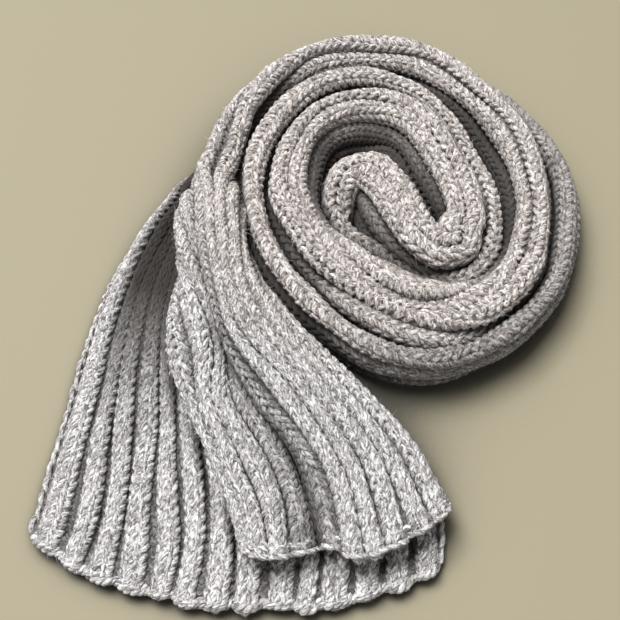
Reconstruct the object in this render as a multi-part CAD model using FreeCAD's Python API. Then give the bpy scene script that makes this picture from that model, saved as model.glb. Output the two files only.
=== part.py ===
import FreeCAD, Part
import math
import os

# A ribbed knitted scarf, folded in half and rolled flat on a table, with its two ends
# fanned out in front. Millimetres, +Z up, table plane z = 0. The origin is on the table in
# the middle of the footprint, +X to the right of somebody who has the ends in front of
# them, +Y away from them. The tables below are given about a point inside the roll and
# every solid is moved to the origin when it is saved.
#
# "Upper" names are the half whose end lies on top and ends in the bind-off edge; "lower"
# names are the half whose end lies on the table and ends in the cast-on edge. The two
# halves wind together, clockwise from above and inwards, and meet at the fold in the
# middle of the roll.

Vector = FreeCAD.Vector
os.makedirs("parts", exist_ok=True)

# ---------------------------------------------------------------- driving dimensions
ORIGIN_X, ORIGIN_Y = -34.4, -47.6   # middle of the footprint, in table coordinates
FABRIC_T = 7.0                      # one layer lying flat
LAYER_GAP = 0.8                     # air between the lower end and the upper end on it
FOOT_Z = FABRIC_T + LAYER_GAP       # underside of the upper end
BODY_GAP = 0.3                      # cut between lengths that move against each other
NECK_Y = 0.0                        # plane where the ends leave the roll
UPPER_Y = -46.0                     # plane between the upper end's neck and panel
TIP_Y = -121.0                      # plane where the upper end's tip folds back

# Rounded sections of the roll
ROLL_CX, ROLL_CY = -8.0, -6.0       # centre of the roll
RADIUS_SCALE = 1.008                # moves each roll section's middle outwards
ROUNDNESS = 2.5                     # superellipse exponent: 2 is an ellipse, more is squarer
SECTION_POINTS = 16                 # control points round a section
TABLE_CLEAR = 0.2                   # underside of every section that rests on the table
RESTING_BELOW = 1.0                 # a tabled underside lower than this rests on the table

# ---------------------------------------------------------------- tables of the roll
# Upper half in the roll: angle about the roll's centre (deg, falling inwards),
# inner radius, outer radius, underside height, top height
UPPER_ROLL = [
    (166, 69.4, 88.2, 8.4, 31.5), (145, 73.4, 89.0, 8.4, 31.5), (130, 76.2, 91.0, 8.4, 31.5),
    (115, 77.2, 93.2, 8.4, 31.5), (100, 75.9, 94.6, 8.4, 31.5), (88, 71.2, 94.6, 8.4, 31.5),
    (76, 66.2, 92.4, 8.4, 31.5), (64, 60.9, 88.0, 8.4, 31.8), (50, 56.6, 81.6, 5.0, 32.0),
    (35, 52.6, 77.4, 1.4, 32.0), (20, 50.6, 75.9, 0.8, 32.0), (5, 50.9, 74.9, 0.6, 32.0),
    (-10, 53.0, 74.9, 0.6, 31.5), (-25, 56.2, 76.6, 0.6, 31.0), (-38, 59.6, 80.6, 0.6, 31.0),
    (-50, 61.5, 82.4, 0.6, 31.0), (-62, 59.6, 83.6, 0.6, 31.0), (-74, 53.0, 84.6, 0.6, 31.0),
    (-86, 46.6, 82.4, 0.6, 31.0), (-98, 41.4, 77.4, 0.6, 31.5), (-110, 38.5, 70.4, 0.6, 31.5),
    (-124, 36.6, 63.8, 0.6, 31.5), (-140, 35.7, 59.9, 0.6, 31.5), (-156, 35.4, 57.2, 0.6, 31.5),
    (-172, 35.6, 55.6, 0.6, 31.0), (-188, 36.3, 55.0, 0.6, 30.5), (-204, 39.0, 55.4, 0.6, 30.0),
    (-220, 43.6, 56.8, 0.6, 30.0), (-236, 47.4, 58.4, 0.6, 30.0), (-250, 45.6, 59.4, 0.6, 30.0),
    (-264, 41.4, 58.8, 0.6, 29.5), (-278, 36.0, 56.6, 0.6, 29.5), (-292, 29.6, 53.0, 0.6, 29.0),
    (-306, 25.0, 46.8, 0.6, 29.0), (-322, 21.6, 41.0, 0.6, 28.5), (-340, 19.8, 39.4, 0.6, 28.0),
    (-358, 19.8, 41.0, 0.6, 28.0), (-374, 22.4, 44.2, 0.6, 28.0), (-389, 27.6, 48.0, 0.6, 28.0),
]
# Lower half in the roll, same columns
LOWER_ROLL = [
    (163, 81.0, 94.2, 0.3, 7.4), (145, 81.0, 96.8, 0.3, 7.4), (128, 82.0, 98.6, 0.3, 7.4),
    (110, 83.0, 100.6, 0.3, 7.4), (94, 84.0, 101.6, 0.3, 7.4), (80, 84.0, 100.4, 0.3, 7.4),
    (68, 90.6, 97.6, 0.3, 9.0), (54, 85.2, 93.8, 0.3, 13.0), (40, 80.6, 91.0, 0.3, 17.0),
    (25, 77.6, 89.2, 0.3, 19.0), (10, 76.2, 89.0, 0.3, 20.0), (-5, 76.0, 88.6, 0.3, 21.0),
    (-20, 76.9, 88.6, 0.3, 22.0), (-34, 80.4, 90.0, 0.3, 22.5), (-48, 83.4, 91.2, 0.3, 23.0),
    (-62, 84.9, 91.8, 0.3, 23.5), (-75, 85.9, 92.2, 0.3, 24.0), (-86, 83.9, 91.6, 0.3, 24.5),
    (-98, 79.0, 86.6, 0.3, 25.5), (-110, 71.8, 79.4, 0.3, 26.5), (-124, 65.0, 73.0, 0.5, 27.5),
    (-140, 61.0, 69.2, 0.5, 28.0), (-158, 58.1, 67.0, 0.6, 28.5), (-176, 56.2, 66.9, 0.6, 28.5),
    (-194, 56.0, 68.2, 0.6, 28.5), (-212, 57.2, 71.0, 0.6, 28.5), (-230, 59.2, 74.0, 0.6, 28.5),
    (-248, 60.6, 75.2, 0.6, 28.0), (-262, 60.0, 73.6, 0.6, 28.0), (-275, 58.4, 68.4, 0.6, 28.0),
    (-288, 55.6, 63.2, 0.6, 27.0), (-305, 48.6, 55.2, 0.6, 26.0), (-322, 42.4, 49.6, 0.6, 25.0),
    (-340, 40.7, 47.4, 0.6, 24.0), (-356, 42.2, 48.4, 0.6, 24.0), (-372, 45.4, 51.2, 0.6, 23.0),
    (-388, 49.4, 54.8, 0.6, 22.0), (-402, 52.4, 58.6, 0.6, 21.0),
]
# The doubled core: centre x, y, half width, underside, top (from the last roll station
# round the curl, up the arm, over the arch and down to the fold)
CORE_UPPER = [
    (23.0, -30.6, 9.6, 1.0, 28.0), (22.0, -39.0, 7.4, 1.0, 28.0), (14.0, -41.6, 7.6, 1.6, 29.0),
    (5.0, -35.4, 9.4, 2.0, 30.0), (-2.6, -23.4, 11.4, 2.0, 31.0), (-8.6, -9.0, 11.4, 2.0, 31.0),
    (-16.2, 1.6, 9.6, 2.0, 30.0), (-26.0, 0.0, 8.0, 1.6, 28.0), (-30.4, -9.6, 6.8, 1.0, 24.0),
    (-30.6, -18.0, 5.4, 0.8, 20.0),
]
# Lower half's run beside the core, from the fold back out to the roll, same columns
CORE_LOWER = [
    (-29.6, -23.6, 4.4, 0.8, 18.0), (-23.0, -30.2, 3.8, 0.8, 17.0),
    (-13.6, -36.6, 3.4, 0.8, 17.0), (-4.4, -44.2, 3.4, 0.8, 17.0), (5.0, -50.6, 3.3, 0.8, 17.0),
    (16.0, -53.4, 3.3, 0.8, 18.0), (25.6, -51.6, 3.4, 0.8, 20.0),
]
CORE_RUN_AIM = (30.2, -47.6)        # point the core run heads for past its last station

# Section where the upper half enters the roll, in the plane where the ends leave it:
# x, y, outward direction x, y, half width, underside, top
ROLL_ENTRY = (-87.1, NECK_Y, -1.0, 0.0, 10.0, 8.4, 31.5)

# Lengths lofted from roll stations alone: piece, roll table, first angle, last angle
ROLL_LENGTHS = [
    ("upper_turn_right", UPPER_ROLL, 64, -38),
    ("upper_turn_front", UPPER_ROLL, -38, -124),
    ("upper_inner_left", UPPER_ROLL, -124, -204),
    ("upper_inner_back", UPPER_ROLL, -204, -292),
    ("upper_inner_right", UPPER_ROLL, -292, -389),
    ("lower_turn_back", LOWER_ROLL, 163, 68),
    ("lower_turn_right", LOWER_ROLL, 68, -34),
    ("lower_turn_front", LOWER_ROLL, -34, -124),
    ("lower_inner_left", LOWER_ROLL, -124, -212),
    ("lower_inner_back", LOWER_ROLL, -212, -288),
]

# ---------------------------------------------------------------- tables of the ends
# Upper end lying on the lower end: plane y, then (x, z) of the section's corners:
# left foot, right foot, right shoulder, ridge's right slope, ridge, valley, left pleat,
# left shoulder
UPPER_END = {
    NECK_Y: [(-97.0, 8.6), (-77.6, 8.6), (-76.4, 22.0), (-80.5, 31.0),
             (-86.0, 32.0), (-90.0, 31.0), (-94.0, 28.0), (-97.6, 20.0)],
    -22.0: [(-99.6, FOOT_Z), (-75.6, FOOT_Z), (-74.8, 19.0), (-78.6, 30.0),
            (-84.0, 33.0), (-89.0, 29.0), (-95.0, 24.0), (-99.8, 16.0)],
    UPPER_Y: [(-101.0, FOOT_Z), (-68.0, FOOT_Z), (-67.0, 18.0), (-71.0, 28.0),
              (-77.6, 32.0), (-84.0, 22.0), (-93.0, 19.0), (-100.6, 13.0)],
    -70.0: [(-101.4, FOOT_Z), (-54.0, FOOT_Z), (-53.0, 17.0), (-58.0, 27.0),
            (-67.0, 30.0), (-78.0, 15.0), (-92.0, 16.0), (-100.6, 12.0)],
    -96.0: [(-100.0, FOOT_Z), (-30.6, FOOT_Z), (-29.6, 15.0), (-38.0, 25.0),
            (-50.0, 27.5), (-70.0, 13.0), (-88.0, 15.0), (-99.4, 12.0)],
    TIP_Y: [(-87.0, FOOT_Z), (-6.8, FOOT_Z), (-5.6, 14.0), (-18.0, 22.0),
            (-31.0, 24.5), (-58.0, 12.5), (-74.0, 15.0), (-86.4, 12.0)],
}
# Skewed far ends of the tip and of the bind-off edge: (x, y, z) of the same eight corners
TIP_END = [
    (-69.0, -160.5, FOOT_Z), (8.4, -143.6, FOOT_Z), (8.2, -143.4, 13.0), (-2.0, -150.4, 17.0),
    (-13.0, -157.8, 18.5), (-35.0, -160.0, 12.0), (-52.0, -165.0, 14.6), (-68.4, -160.6, 12.0),
]
BIND_END = [
    (-66.6, -166.0, FOOT_Z), (11.6, -147.8, FOOT_Z), (11.4, -147.6, 12.6), (1.0, -155.4, 16.4),
    (-11.0, -163.0, 17.8), (-33.6, -164.6, 11.6), (-51.0, -170.4, 14.2), (-66.0, -165.8, 11.6),
]
# Outline (x, y) of the lower end on the table: down the left side, along the near edge
# to the right, and back up the right side
LOWER_LEFT = [
    (-107.4, NECK_Y), (-114.3, -9.0), (-121.4, -21.5), (-126.5, -33.5), (-131.8, -48.0),
    (-136.4, -66.0), (-139.1, -83.0), (-141.8, -99.0), (-143.5, -114.4), (-145.6, -131.0),
    (-146.9, -143.4), (-148.6, -154.0), (-149.4, -160.0),
]
LOWER_EDGE = [
    (-145.4, -166.0), (-134.7, -168.8), (-124.2, -172.0), (-113.4, -177.0), (-98.8, -181.4),
    (-88.6, -185.2), (-77.2, -188.0), (-60.3, -190.2), (-43.5, -190.8), (-26.7, -189.6),
    (-12.6, -186.8), (-3.9, -182.6), (2.3, -176.4),
]
LOWER_RIGHT = [
    (4.9, -170.6), (4.7, -164.0), (3.5, -154.8), (-5.4, -128.4), (-19.0, -109.0),
    (-33.0, -94.5), (-46.0, -79.0), (-59.0, -62.0), (-69.0, -46.0), (-76.4, -26.0),
    (-78.4, NECK_Y),
]
# Step (x, y) from each point of LOWER_EDGE to the inner line of the cast-on edge
CAST_ON_STEPS = [
    (3.0, 4.2), (2.0, 4.8), (2.2, 4.6), (2.2, 4.6), (1.9, 4.8), (1.7, 4.9), (1.0, 5.0),
    (0.3, 5.0), (-0.2, 5.0), (-0.9, 5.0), (-1.8, 4.8), (-3.0, 4.2), (-4.4, 3.0),
]
CUT_MARGIN = 1.0                    # the cast-on cutter's overshoot below and above
CORNER_A = (-146.5, -122.0)         # corner fold line, left end
CORNER_B = (-106.5, -183.0)         # corner fold line, near end
CUTTER_REACH = 400.0                # half length and depth of the fold line's cutter
CUTTER_Z = (-20.0, 60.0)

# Lower neck: heights, its right side at the panel, and its middle section (left, right, y)
NECK_BOTTOM, NECK_TOP = 0.3, 7.2
NECK_RIGHT_X = -77.0
NECK_MID_LEFT, NECK_MID_RIGHT, NECK_MID_Y = -103.0, -80.0, 8.0


# ---------------------------------------------------------------- stations
# A station is (x, y, outward direction x, y, half width, underside, top).
def roll_station(row):
    angle, inner, outer, bottom, top = row
    turn = math.radians(angle)
    out_x, out_y = math.cos(turn), math.sin(turn)
    radius = (inner + outer) / 2.0 * RADIUS_SCALE
    return (ROLL_CX + radius * out_x, ROLL_CY + radius * out_y, out_x, out_y,
            (outer - inner) / 2.0, bottom, top)


def roll_span(table, first, last):
    """Stations from angle first down to angle last, both included."""
    return [roll_station(row) for row in table if last <= row[0] <= first]


def path_stations(table, before, after):
    """Stations square to a free path that comes from before and goes on to after."""
    path = [before] + [row[:2] for row in table] + [after]
    stations = []
    for (x, y, half_width, bottom, top), start, end in zip(table, path, path[2:]):
        dx, dy = end[0] - start[0], end[1] - start[1]
        length = math.hypot(dx, dy)
        # the left-hand normal of travel matches the roll's outward direction
        stations.append((x, y, -dy / length, dx / length, half_width, bottom, top))
    return stations


def moved_towards(station, target, gap):
    dx, dy = target[0] - station[0], target[1] - station[1]
    length = math.hypot(dx, dy)
    return (station[0] + dx / length * gap, station[1] + dy / length * gap) + station[2:]


# ---------------------------------------------------------------- solids
def section(x, y, out_x, out_y, half_width, bottom, top):
    """Control points of a rounded section in the upright plane along the outward direction."""
    if bottom < RESTING_BELOW:
        bottom = TABLE_CLEAR
    # the cubic runs a little inside its control points, so they are spread to make up for it
    swell = 3.0 / (2.0 + math.cos(2.0 * math.pi / SECTION_POINTS))
    mid_z = (bottom + top) / 2.0
    half_height = (top - bottom) / 2.0 * swell
    half_width = half_width * swell
    power = 2.0 / ROUNDNESS
    points = []
    for i in range(SECTION_POINTS):
        turn = 2.0 * math.pi * (i + 0.5) / SECTION_POINTS
        cos, sin = math.cos(turn), math.sin(turn)
        across = math.copysign(abs(cos) ** power, cos) * half_width
        rise = math.copysign(abs(sin) ** power, sin) * half_height
        points.append(Vector(x + out_x * across, y + out_y * across, mid_z + rise))
    return points


def solid_from(shell):
    solid = Part.makeSolid(shell)
    if solid.Volume < 0:
        solid.reverse()
    return solid


def loft(stations):
    """Cubic surface over the stations' sections, closed round each one, with flat ends."""
    rows = [section(*station) for station in stations]
    degree = 3
    spans = len(rows) - degree
    along_mults = [degree + 1] + [1] * (spans - 1) + [degree + 1]
    along_knots = [float(i) for i in range(spans + 1)]
    round_mults = [1] * (SECTION_POINTS + 1)
    round_knots = [float(i) for i in range(SECTION_POINTS + 1)]
    surface = Part.BSplineSurface()
    surface.buildFromPolesMultsKnots(rows, along_mults, round_mults, along_knots, round_knots,
                                     False, True, degree, degree)
    faces = [surface.toShape()]
    for row in (rows[0], rows[-1]):
        rim = Part.BSplineCurve()
        rim.buildFromPolesMultsKnots(row, round_mults, round_knots, True, degree)
        faces.append(Part.Face(Part.Wire([rim.toShape()])))
    shell = Part.makeShell(faces)
    shell.sewShape()
    return solid_from(shell)


def polygon_face(points):
    return Part.Face(Part.makePolygon(points + [points[0]]))


def hull_strip(loops):
    """Closed solid through polygon loops with equal corner counts, sides in triangles."""
    faces = []
    for near, far in zip(loops, loops[1:]):
        count = len(near)
        for i in range(count):
            j = (i + 1) % count
            faces.append(polygon_face([near[i], near[j], far[j]]))
            faces.append(polygon_face([near[i], far[j], far[i]]))
    for cap in (loops[0], loops[-1]):
        # a skewed cap is not flat and may refuse a single face, so it becomes a fan
        try:
            faces.append(polygon_face(cap))
        except Exception:
            for i in range(1, len(cap) - 1):
                faces.append(polygon_face([cap[0], cap[i], cap[i + 1]]))
    return solid_from(Part.makeShell(faces))


def slab(outline, bottom, top):
    face = polygon_face([Vector(x, y, bottom) for x, y in outline])
    return face.extrude(Vector(0, 0, top - bottom))


def biggest(shape):
    return max(shape.Solids, key=lambda solid: solid.Volume)


def save(name, shape):
    """Repair the shape if needed, move it to the origin and write it."""
    shape = shape.copy()
    if not shape.isValid():
        shape.fix(1e-4, 1e-4, 1e-4)
    shape.translate(Vector(-ORIGIN_X, -ORIGIN_Y, 0.0))
    shape.exportStep("parts/%s.step" % name)


# ---------------------------------------------------------------- the roll
def build_roll():
    for name, table, first, last in ROLL_LENGTHS:
        save(name, loft(roll_span(table, first, last)))

    # the upper half's first length starts in the plane where the ends leave the roll
    turn = roll_span(UPPER_ROLL, 166, 64)
    save("upper_turn_back", loft([moved_towards(ROLL_ENTRY, turn[0], BODY_GAP)] + turn))


def build_core():
    roll_end = roll_station(UPPER_ROLL[-1])
    upper = path_stations(CORE_UPPER, before=roll_end[:2], after=CORE_LOWER[0][:2])
    lower = path_stations(CORE_LOWER, before=CORE_UPPER[-1][:2], after=CORE_RUN_AIM)
    save("centre_fold", loft([moved_towards(roll_end, upper[0], BODY_GAP)] + upper))

    run_end = moved_towards(lower[-1], lower[-2], BODY_GAP)
    save("lower_core_run", loft([upper[-1]] + lower[:-1] + [run_end]))

    # the innermost lower length meets the core run head-on, so the shared station is turned
    x, y, out_x, out_y, *size = lower[-1]
    meeting = (x, y, -out_x, -out_y, *size)
    save("lower_inner_right", loft(roll_span(LOWER_ROLL, -288, -402) + [meeting]))


# ---------------------------------------------------------------- the lower end
def fold_side(side):
    """Big box beside the corner fold line: +1 is left of A to B (panel), -1 the corner."""
    dx, dy = CORNER_B[0] - CORNER_A[0], CORNER_B[1] - CORNER_A[1]
    length = math.hypot(dx, dy)
    along_x, along_y = dx / length, dy / length
    away_x, away_y = -along_y * side, along_x * side
    start_x = CORNER_A[0] + away_x * BODY_GAP / 2
    start_y = CORNER_A[1] + away_y * BODY_GAP / 2
    corners = [(-1, 0), (1, 0), (1, 1), (-1, 1)]    # multiples of the reach: along, away
    outline = [(start_x + (along_x * along + away_x * away) * CUTTER_REACH,
                start_y + (along_y * along + away_y * away) * CUTTER_REACH)
               for along, away in corners]
    return slab(outline, *CUTTER_Z)


def build_lower_end():
    """Fan on the table, split into the panel, its cast-on edge and its near left corner."""
    fan = slab(LOWER_LEFT + LOWER_EDGE + LOWER_RIGHT, 0.0, FABRIC_T)
    corner = fan.common(fold_side(-1))
    body = fan.common(fold_side(1))
    inner_line = [(x + step_x, y + step_y)
                  for (x, y), (step_x, step_y) in zip(LOWER_EDGE, CAST_ON_STEPS)]
    strip = slab(LOWER_EDGE + inner_line[::-1], -CUT_MARGIN, FABRIC_T + CUT_MARGIN)
    save("lower_end_panel", biggest(body.cut(strip)))
    save("cast_on_edge", biggest(body.common(strip)))
    save("lower_end_corner", biggest(corner))


def neck_loop(left, right):
    """Upright rectangle between two (x, y) points."""
    return [Vector(*left, NECK_BOTTOM), Vector(*right, NECK_BOTTOM),
            Vector(*right, NECK_TOP), Vector(*left, NECK_TOP)]


def build_lower_neck():
    """Flat length from the fan to the lower half's first turn in the roll."""
    x, y, out_x, out_y, half_width = roll_station(LOWER_ROLL[0])[:5]
    start_y = NECK_Y + BODY_GAP
    save("lower_end_neck", hull_strip([
        neck_loop((LOWER_LEFT[0][0], start_y), (NECK_RIGHT_X, start_y)),
        neck_loop((NECK_MID_LEFT, NECK_MID_Y), (NECK_MID_RIGHT, NECK_MID_Y)),
        neck_loop((x + out_x * half_width, y + out_y * half_width),
                  (x - out_x * half_width, y - out_y * half_width)),
    ]))


# ---------------------------------------------------------------- the upper end
def end_loop(y, shift=0.0):
    """Section of the upper end tabled at y, moved along Y by shift."""
    return [Vector(x, y + shift, z) for x, z in UPPER_END[y]]


def build_upper_end():
    half_gap = BODY_GAP / 2
    tip_end = [Vector(*point) for point in TIP_END]
    bind_end = [Vector(*point) for point in BIND_END]
    save("upper_end_neck", hull_strip([
        end_loop(NECK_Y, -BODY_GAP), end_loop(-22.0), end_loop(UPPER_Y, half_gap)]))
    save("upper_end_panel", hull_strip([
        end_loop(UPPER_Y, -half_gap), end_loop(-70.0), end_loop(-96.0),
        end_loop(TIP_Y, half_gap)]))
    save("upper_end_tip", hull_strip([end_loop(TIP_Y, -half_gap), tip_end]))
    save("bind_off_edge", hull_strip([tip_end, bind_end]))


build_roll()
build_core()
build_lower_end()
build_lower_neck()
build_upper_end()
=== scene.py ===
"""Rolled ribbed scarf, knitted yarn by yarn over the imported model.

The scarf is folded in two halves that wind clockwise (seen from above) into an upright roll and
meet in its core. Their free ends leave the roll on its -x side and lie towards -y, the upper end
over the lower one. The table is z = 0.

Each half is a surface with two coordinates: "rib" runs across the band from 0 to 14, and "row"
counts knitted rows from the free end.
"""

import math
from collections import namedtuple

import bpy
import numpy as np
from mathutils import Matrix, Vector


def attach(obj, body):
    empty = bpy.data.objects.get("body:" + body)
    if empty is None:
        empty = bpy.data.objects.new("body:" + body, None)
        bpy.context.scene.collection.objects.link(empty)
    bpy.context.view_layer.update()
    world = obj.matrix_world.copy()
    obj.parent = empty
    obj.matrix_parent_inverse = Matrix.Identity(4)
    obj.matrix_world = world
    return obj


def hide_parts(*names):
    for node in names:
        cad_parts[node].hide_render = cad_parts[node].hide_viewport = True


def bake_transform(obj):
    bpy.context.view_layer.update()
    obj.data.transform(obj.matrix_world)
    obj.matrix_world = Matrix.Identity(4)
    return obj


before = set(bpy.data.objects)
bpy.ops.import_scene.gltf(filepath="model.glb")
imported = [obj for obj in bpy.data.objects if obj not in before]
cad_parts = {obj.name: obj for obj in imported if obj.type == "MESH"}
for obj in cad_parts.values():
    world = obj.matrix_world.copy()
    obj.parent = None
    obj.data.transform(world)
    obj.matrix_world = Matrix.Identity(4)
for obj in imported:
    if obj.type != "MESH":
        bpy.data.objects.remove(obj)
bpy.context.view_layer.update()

# ---------------------------------------------------------------- sizes, mm
ORIGIN = np.array([-34.4, -47.6, 0.0])   # where the model's origin lies in the tables below
ROLL_CENTRE = np.array([-8.0, -6.0])
ROW_HEIGHT = 4.2
RIBS = 14              # knit ribs across the band
RIB_PITCH = 10.0       # one rib repeat where the band is relaxed
YARN_RADIUS = 1.16
LOOP_DEPTH = 0.85      # how far a stitch's legs and heads stand off its mid surface
RIB_HEIGHT = 2.0       # how far ribs and grooves stand off the band's mid surface
SKIN = 2.9             # the band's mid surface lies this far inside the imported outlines
CORE_SKIN = 2.3        # the same in the upper half's core
LOWEST_MID = 2.2       # lowest mid surface, so that no yarn goes into the table
LOWER_END_Z = 4.2      # mid surface of the lower end

# ---------------------------------------------------------------- sampling
RIB_SAMPLES = 16       # surface samples to a rib
ROW_SAMPLES = 4        # surface samples to a row
ACROSS = RIBS * RIB_SAMPLES + 1
RIB_GRID = np.linspace(0, RIBS, ACROSS)
SECTION_STEPS = 720    # steps round a closed section
YARN_SIDES = 6
STITCH_SAMPLES = 12    # yarn samples along a stitch
LINK_SAMPLES = 14      # yarn samples round a chain link
FIBRES_PER_STITCH = 5.0

# ---------------------------------------------------------------- the roll
# Angles are in degrees round ROLL_CENTRE, from +x towards +y.
# angle, inner radius, outer radius, top, crease depth, crease place (-1 inner .. 1 outer)
UPPER_ROLL = [
    (166, 68.4, 88.0, 31.8, 1.5, 0.0), (145, 72.6, 89.2, 31.8, 1.5, 0.0),
    (130, 75.3, 91.2, 31.8, 1.5, 0.0), (115, 76.4, 93.4, 31.8, 1.5, 0.0),
    (100, 75.0, 94.8, 31.8, 1.5, 0.0), (88, 70.4, 94.8, 31.8, 1.5, 0.0),
    (76, 65.4, 92.6, 31.8, 0.4, 0.0), (64, 60.5, 88.2, 32.0, 0.4, 0.0),
    (50, 56.8, 81.8, 32.2, 0.4, 0.0), (35, 52.8, 77.6, 32.2, 0.4, 0.0),
    (20, 50.8, 76.0, 32.2, 0.4, 0.0), (5, 51.0, 75.0, 32.2, 0.4, 0.0),
    (-10, 53.1, 75.0, 31.8, 0.4, 0.0), (-25, 56.3, 76.7, 31.4, 2.0, 0.0),
    (-38, 59.6, 80.7, 31.0, 3.5, 0.12), (-50, 61.3, 82.8, 31.0, 6.0, 0.2),
    (-62, 59.2, 84.2, 31.0, 8.5, 0.24), (-74, 52.6, 85.2, 31.0, 10.0, 0.26),
    (-86, 46.3, 82.0, 31.0, 11.0, 0.26), (-98, 41.2, 75.4, 31.5, 11.0, 0.24),
    (-110, 38.4, 67.6, 31.5, 10.5, 0.2), (-124, 36.5, 60.8, 31.5, 9.5, 0.14),
    (-140, 35.6, 57.4, 31.5, 8.0, 0.08), (-156, 35.3, 55.8, 31.5, 6.5, 0.0),
    (-172, 35.5, 55.8, 31.0, 6.0, 0.0), (-188, 36.2, 55.2, 30.5, 5.0, 0.0),
    (-204, 38.8, 55.6, 30.0, 4.0, 0.0), (-220, 43.0, 57.0, 30.0, 3.0, 0.0),
    (-236, 45.6, 58.6, 30.0, 2.5, 0.0), (-250, 44.8, 59.6, 30.0, 2.5, 0.0),
    (-264, 41.2, 59.0, 29.5, 2.5, 0.0), (-278, 35.8, 56.8, 29.5, 2.5, 0.0),
    (-292, 29.4, 53.2, 29.0, 2.5, 0.0), (-306, 25.0, 47.0, 29.0, 2.5, 0.0),
    (-322, 23.2, 41.2, 28.5, 2.5, 0.0), (-340, 22.6, 39.6, 28.0, 2.5, 0.0),
    (-358, 23.4, 41.2, 28.0, 2.5, 0.0), (-374, 25.6, 44.4, 28.0, 2.0, 0.0),
    (-389, 30.0, 48.2, 28.0, 1.5, 0.0),
]
# angles, and how far the inner side of the upper half's top falls away there
LEAN = ([-389, -340, -300, -260, -200, -124, -90, -55, -25, 0, 35, 60, 90, 166],
        [0, 0, 3, 4, 2, 0, 0, 4, 9, 12, 12, 9, 6, 2])
# angles, and how far the upper half's inner foot spreads there
FLARE = ([-389, -370, -320, -250, -200, -150, -124, 166], [6, 10, 13, 13, 10, 6, 0, 0])
# angle, inner radius, outer radius, top
LOWER_ROLL = [
    (163, 84.0, 94.2, 8.0), (145, 84.0, 96.6, 8.0), (128, 85.0, 98.6, 8.0),
    (110, 86.0, 100.6, 8.0), (94, 87.0, 101.6, 8.0), (80, 88.0, 100.4, 9.0),
    (68, 89.0, 97.6, 11.0), (54, 84.0, 93.8, 14.0), (40, 79.6, 91.0, 17.0),
    (25, 77.4, 89.2, 19.0), (10, 76.0, 89.0, 20.0), (-5, 75.8, 88.6, 21.0),
    (-20, 76.9, 88.8, 22.0), (-34, 80.0, 90.2, 22.5), (-48, 82.8, 91.4, 23.0),
    (-62, 84.3, 92.0, 23.5), (-75, 85.3, 92.4, 24.0), (-86, 83.4, 91.8, 24.5),
    (-98, 78.6, 87.6, 25.5), (-110, 71.4, 81.4, 26.5), (-124, 64.6, 75.8, 27.5),
    (-140, 60.6, 71.4, 28.0), (-158, 57.8, 68.2, 28.5), (-176, 56.0, 67.1, 28.5),
    (-194, 55.8, 68.6, 28.5), (-212, 57.0, 71.4, 28.5), (-230, 59.0, 74.2, 28.5),
    (-248, 60.4, 75.4, 28.0), (-262, 59.8, 73.8, 28.0), (-275, 58.0, 68.8, 28.0),
    (-288, 54.8, 63.6, 27.0), (-305, 47.8, 55.6, 26.0), (-322, 41.6, 50.0, 25.0),
    (-340, 40.0, 47.8, 24.0), (-356, 41.5, 48.8, 24.0), (-372, 44.7, 51.6, 23.0),
    (-388, 48.6, 55.2, 22.0), (-402, 51.8, 59.0, 21.0),
]
# the core: x, y, half width, top
CORE_UPPER = [
    (23.0, -30.6, 9.8, 28.0), (22.0, -39.0, 7.6, 28.0), (14.0, -41.6, 7.8, 29.0),
    (5.0, -35.4, 9.4, 30.0), (-2.6, -23.4, 11.4, 31.0), (-8.6, -9.0, 11.4, 31.0),
    (-16.2, 1.6, 9.6, 30.0), (-26.0, 0.0, 8.0, 28.0), (-30.4, -9.6, 6.8, 24.0),
    (-30.6, -18.0, 5.4, 20.0),
]
CORE_LOWER = [
    (-29.6, -23.6, 4.6, 18.0), (-23.0, -30.2, 4.0, 17.0), (-13.6, -36.6, 3.8, 17.0),
    (-4.4, -44.2, 3.8, 17.0), (5.0, -50.6, 3.8, 17.0), (16.0, -53.4, 3.8, 18.0),
    (25.6, -51.6, 3.9, 20.0),
]

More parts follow.
